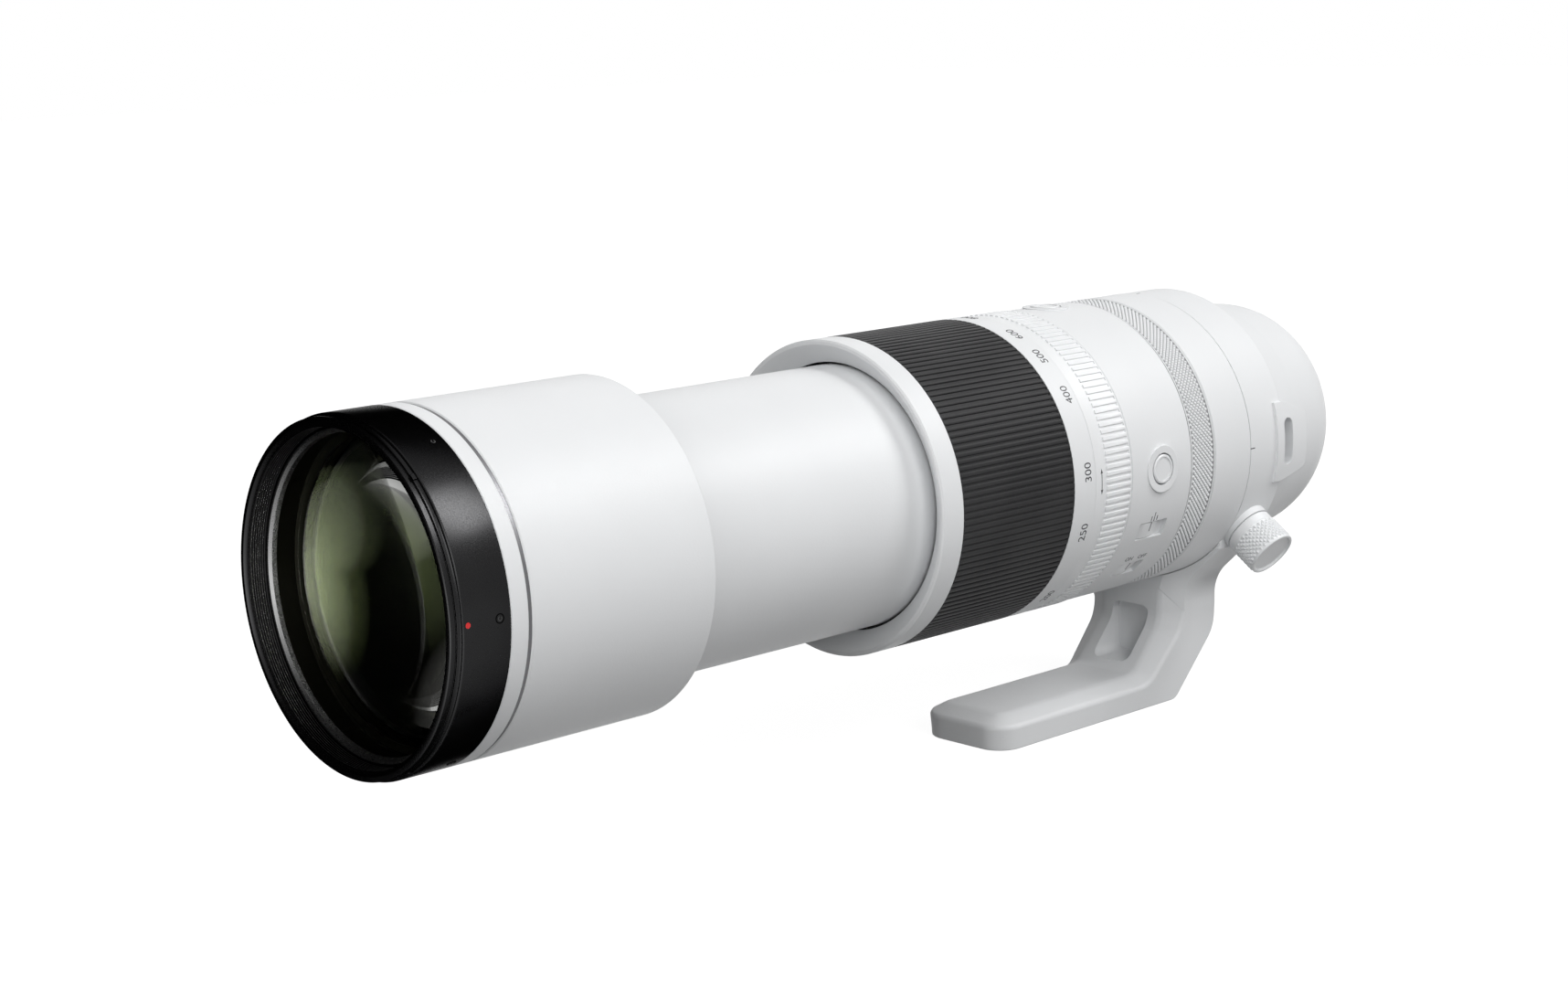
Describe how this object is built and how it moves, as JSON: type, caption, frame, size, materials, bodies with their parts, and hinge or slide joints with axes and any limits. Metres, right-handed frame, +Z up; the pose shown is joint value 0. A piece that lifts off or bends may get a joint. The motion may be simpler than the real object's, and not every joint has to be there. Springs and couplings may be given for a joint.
{
  "type": "telephoto zoom camera lens",
  "caption": "Long white super-telephoto zoom lens for a camera, barrel drawn out, with a rotating tripod collar and foot, ribbed zoom grip, control rings, buttons and switches.",
  "frame": {"origin": "centre of the camera flange plane, on the optical axis", "axes": "+Y along the optical axis towards the camera, front glass to -Y; +Z up, the foot hangs to -Z; +X is the side with the switches"},
  "size_m": [0.1093, 0.4093, 0.1452],
  "materials": {
    "white_barrel": "satin",
    "white_casting": "satin",
    "black_plastic": "satin",
    "grip_rubber": "matte",
    "button_white": "satin",
    "accent_grey": "satin",
    "dark_metal": "satin",
    "bare_metal": "satin",
    "steel": "satin",
    "mount_metal": "satin",
    "contact_gold": "gloss",
    "lens_glass": "polished",
    "board_green": "satin"
  },
  "bodies": {
    "barrel": {"main_barrel": "white_barrel", "rear_barrel": "white_barrel", "rear_housing": "white_barrel", "bayonet_mount": "mount_metal", "mount_screws": "steel", "dust_seal": "grip_rubber", "contact_block": "black_plastic", "contact_pins": "contact_gold", "rear_baffle": "black_plastic", "guide_tube": "dark_metal", "barrel_wiper": "grip_rubber", "tact_switches": "black_plastic", "rear_frame": "dark_metal", "front_frame": "dark_metal", "guide_rods": "steel", "rear_cell": "dark_metal", "rear_glass": "lens_glass", "circuit_board": "board_green", "focus_motor": "dark_metal"},
    "zoom_ring": {"zoom_ring_shell": "white_barrel", "zoom_grip": "grip_rubber", "drive_keys": "steel", "cam_tube": "bare_metal"},
    "inner_barrel": {"inner_tube": "white_barrel", "front_barrel": "white_barrel", "accent_ring": "accent_grey", "name_ring": "white_barrel", "front_ring": "black_plastic", "retaining_ring": "accent_grey", "front_cell": "dark_metal", "front_glass": "lens_glass", "second_glass": "lens_glass", "guide_rollers": "steel"},
    "zoom_group": {"variator_cell": "dark_metal", "variator_glass": "lens_glass"},
    "focus_group": {"focus_cell": "dark_metal", "focus_glass": "lens_glass"},
    "tension_ring": {"tension_ring": "white_barrel"},
    "control_ring": {"control_ring": "white_barrel"},
    "tripod_collar": {"tripod_collar": "white_casting", "tripod_sockets": "steel"},
    "lock_knob": {"lock_knob": "white_barrel", "clamp_screw": "steel"},
    "side_button": {"side_button": "button_white"},
    "top_button": {"top_button": "button_white"},
    "mode_slider": {"mode_slider": "button_white"},
    "stabilizer_slider": {"stabilizer_slider": "button_white"}
  },
  "joints": [
    {"name": "zoom_turn", "type": "hinge", "parent": "barrel", "child": "zoom_ring", "pos_m": [0, -0.18, 0], "axis": [0, -1, 0], "range_deg": [0, 140]},
    {"name": "barrel_slide", "type": "slide", "parent": "barrel", "child": "inner_barrel", "axis": [0, 1, 0], "range_m": [0, 0.0897]},
    {"name": "zoom_group_slide", "type": "slide", "parent": "barrel", "child": "zoom_group", "axis": [0, 1, 0], "range_m": [0, 0.022]},
    {"name": "focus_slide", "type": "slide", "parent": "barrel", "child": "focus_group", "axis": [0, 1, 0], "range_m": [0, 0.008]},
    {"name": "tension_turn", "type": "hinge", "parent": "barrel", "child": "tension_ring", "pos_m": [0, -0.139, 0], "axis": [0, -1, 0], "range_deg": [-25, 25]},
    {"name": "control_turn", "type": "hinge", "parent": "barrel", "child": "control_ring", "pos_m": [0, -0.092, 0], "axis": [0, -1, 0], "continuous": true},
    {"name": "collar_turn", "type": "hinge", "parent": "barrel", "child": "tripod_collar", "pos_m": [0, -0.056, 0], "axis": [0, -1, 0], "continuous": true},
    {"name": "lock_turn", "type": "hinge", "parent": "tripod_collar", "child": "lock_knob", "pos_m": [0.0453, -0.0565, -0.03292], "axis": [0.809, 0, -0.5878], "range_deg": [0, 270]},
    {"name": "side_button_press", "type": "slide", "parent": "barrel", "child": "side_button", "axis": [-1, 0, 0], "range_m": [0, 0.0008], "stiffness_N_per_m": 300, "springref_m": -0.001},
    {"name": "top_button_press", "type": "slide", "parent": "barrel", "child": "top_button", "axis": [0, 0, -1], "range_m": [0, 0.0008], "stiffness_N_per_m": 300, "springref_m": -0.001},
    {"name": "mode_switch_slide", "type": "slide", "parent": "barrel", "child": "mode_slider", "axis": [0, 1, 0], "range_m": [0, 0.003]},
    {"name": "stabilizer_switch_slide", "type": "slide", "parent": "barrel", "child": "stabilizer_slider", "axis": [0, 1, 0], "range_m": [0, 0.002]}
  ],
  "couplings": [
    {"joint": "barrel_slide", "follows": "zoom_turn", "m_per_rad": 0.03671},
    {"joint": "zoom_group_slide", "follows": "zoom_turn", "m_per_rad": 0.0090036}
  ]
}
